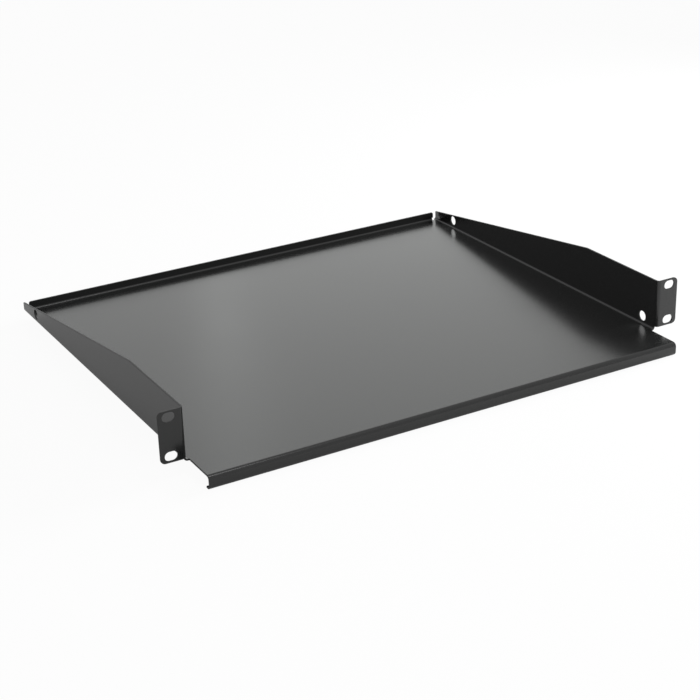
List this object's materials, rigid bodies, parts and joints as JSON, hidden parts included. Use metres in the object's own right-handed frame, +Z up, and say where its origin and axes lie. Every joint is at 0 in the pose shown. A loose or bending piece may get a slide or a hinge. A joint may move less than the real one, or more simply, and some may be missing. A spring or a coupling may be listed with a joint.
{
  "type": "rack shelf",
  "caption": "Low cantilever shelf for a 19-inch equipment rack, folded from sheet steel, with slotted ears, tapered side walls and a turned-down front lip.",
  "frame": {"origin": "centre of the four bolt slots, on the rear face of the ears, which bears on the rack's front rails", "axes": "+X to the right as seen from the front, +Y into the rack, +Z up"},
  "size_m": [0.4826, 0.3803, 0.0564],
  "materials": {
    "black_powder_coat": "smooth satin black powder coat on steel sheet"
  },
  "bodies": {
    "root": {"shelf": "black_powder_coat"}
  },
  "joints": []
}
